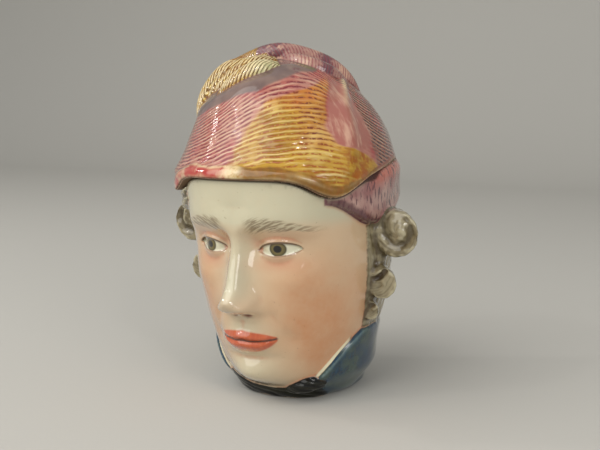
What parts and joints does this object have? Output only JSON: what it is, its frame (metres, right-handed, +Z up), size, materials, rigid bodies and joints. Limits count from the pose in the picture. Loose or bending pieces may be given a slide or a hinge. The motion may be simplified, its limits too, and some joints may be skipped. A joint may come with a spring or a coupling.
{
  "type": "figural humidor",
  "caption": "Hollow glazed ceramic tobacco jar in the shape of a head with curled hair and a coat collar, and a lift-off lid in the shape of a knitted nightcap with a folded tail and tassel.",
  "frame": {"origin": "The middle of the flat foot, on its underside.", "axes": "+Z is up. The face looks along -Y. The head's own left is +X."},
  "size_m": [0.1122, 0.1057, 0.141],
  "materials": {
    "head_glaze": "gloss, hand painted",
    "cap_glaze": "gloss, hand painted"
  },
  "bodies": {
    "root": {"head_jar": "head_glaze", "cap_lid": "cap_glaze"}
  },
  "joints": []
}
